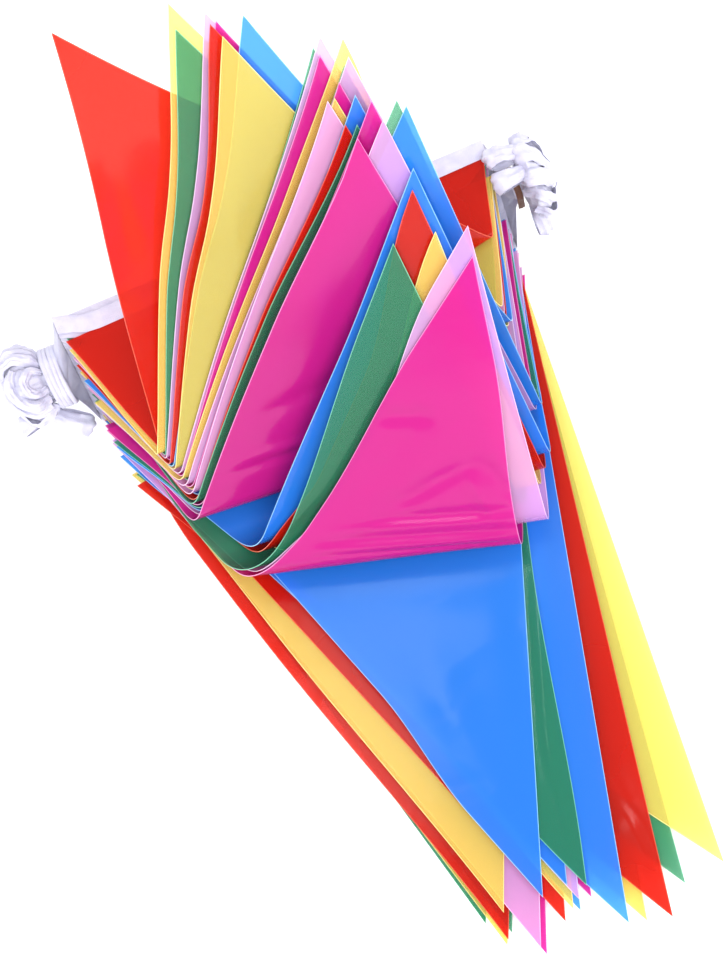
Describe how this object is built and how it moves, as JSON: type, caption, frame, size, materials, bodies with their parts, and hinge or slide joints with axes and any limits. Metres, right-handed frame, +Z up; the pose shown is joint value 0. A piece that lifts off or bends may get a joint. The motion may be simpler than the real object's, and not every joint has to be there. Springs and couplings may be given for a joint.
{
  "type": "bundled pennant bunting of plastic film on a white tape",
  "caption": "String of triangular glossy film pennants on a white tape, bundled as stored: the upper ones folded up in a fan, the lower ones flat, with the tape gathered in a hank at each end.",
  "frame": {"origin": "on the floor, under the middle of the lowest pennant, 110 mm in front of the top edge of the stack's uppermost pennant", "axes": "+X along the tape to the right hank, +Y from the straight pennants' tips to the tape, +Z up"},
  "size_m": [0.2578, 0.35, 0.2975],
  "materials": {
    "film_red": "thin glossy polyethylene film, a little see-through",
    "film_yellow": "thin glossy polyethylene film, a little see-through",
    "film_green": "thin glossy polyethylene film, a little see-through",
    "film_blue": "thin glossy polyethylene film, a little see-through",
    "film_pink": "thin glossy polyethylene film, a little see-through",
    "film_magenta": "thin glossy polyethylene film, a little see-through",
    "tape_white": "plain woven white tape, matte",
    "tie_brown": "brown paper-covered wire, dull"
  },
  "bodies": {
    "root": {"header_tape": "tape_white", "left_hank": "tape_white", "left_winding": "tape_white", "pennant_01_red": "film_red", "pennant_02_yellow": "film_yellow", "pennant_03_green": "film_green", "pennant_04_pink": "film_pink", "pennant_05_magenta": "film_magenta", "pennant_06_red": "film_red", "pennant_07_blue": "film_blue", "pennant_08_yellow": "film_yellow", "pennant_09_green": "film_green", "pennant_10_pink": "film_pink", "pennant_11_magenta": "film_magenta", "pennant_12_yellow": "film_yellow", "pennant_13_green": "film_green", "pennant_14_pink": "film_pink", "pennant_15_magenta": "film_magenta", "pennant_16_yellow": "film_yellow", "pennant_17_pink": "film_pink", "pennant_18_blue": "film_blue", "pennant_19_red": "film_red", "pennant_20_green": "film_green", "pennant_21_magenta": "film_magenta", "pennant_22_green": "film_green", "pennant_23_blue": "film_blue", "pennant_24_pink": "film_pink", "pennant_25_magenta": "film_magenta", "pennant_26_blue": "film_blue", "pennant_27_red": "film_red", "pennant_28_yellow": "film_yellow", "pennant_29_green": "film_green", "pennant_30_pink": "film_pink", "pennant_31_magenta": "film_magenta", "pennant_32_blue": "film_blue", "pennant_33_green": "film_green", "pennant_34_blue": "film_blue", "pennant_35_blue": "film_blue", "pennant_36_pink": "film_pink", "pennant_37_yellow": "film_yellow", "pennant_38_blue": "film_blue", "pennant_39_magenta": "film_magenta", "pennant_40_red": "film_red", "pennant_41_yellow": "film_yellow", "pennant_42_pink": "film_pink", "pennant_43_red": "film_red", "pennant_44_magenta": "film_magenta", "pennant_45_yellow": "film_yellow", "pennant_46_green": "film_green", "pennant_47_red": "film_red", "pennant_48_green": "film_green", "pennant_49_yellow": "film_yellow", "pennant_50_yellow": "film_yellow", "pennant_51_green": "film_green", "right_hank": "tape_white", "wire_tie": "tie_brown"}
  },
  "joints": []
}
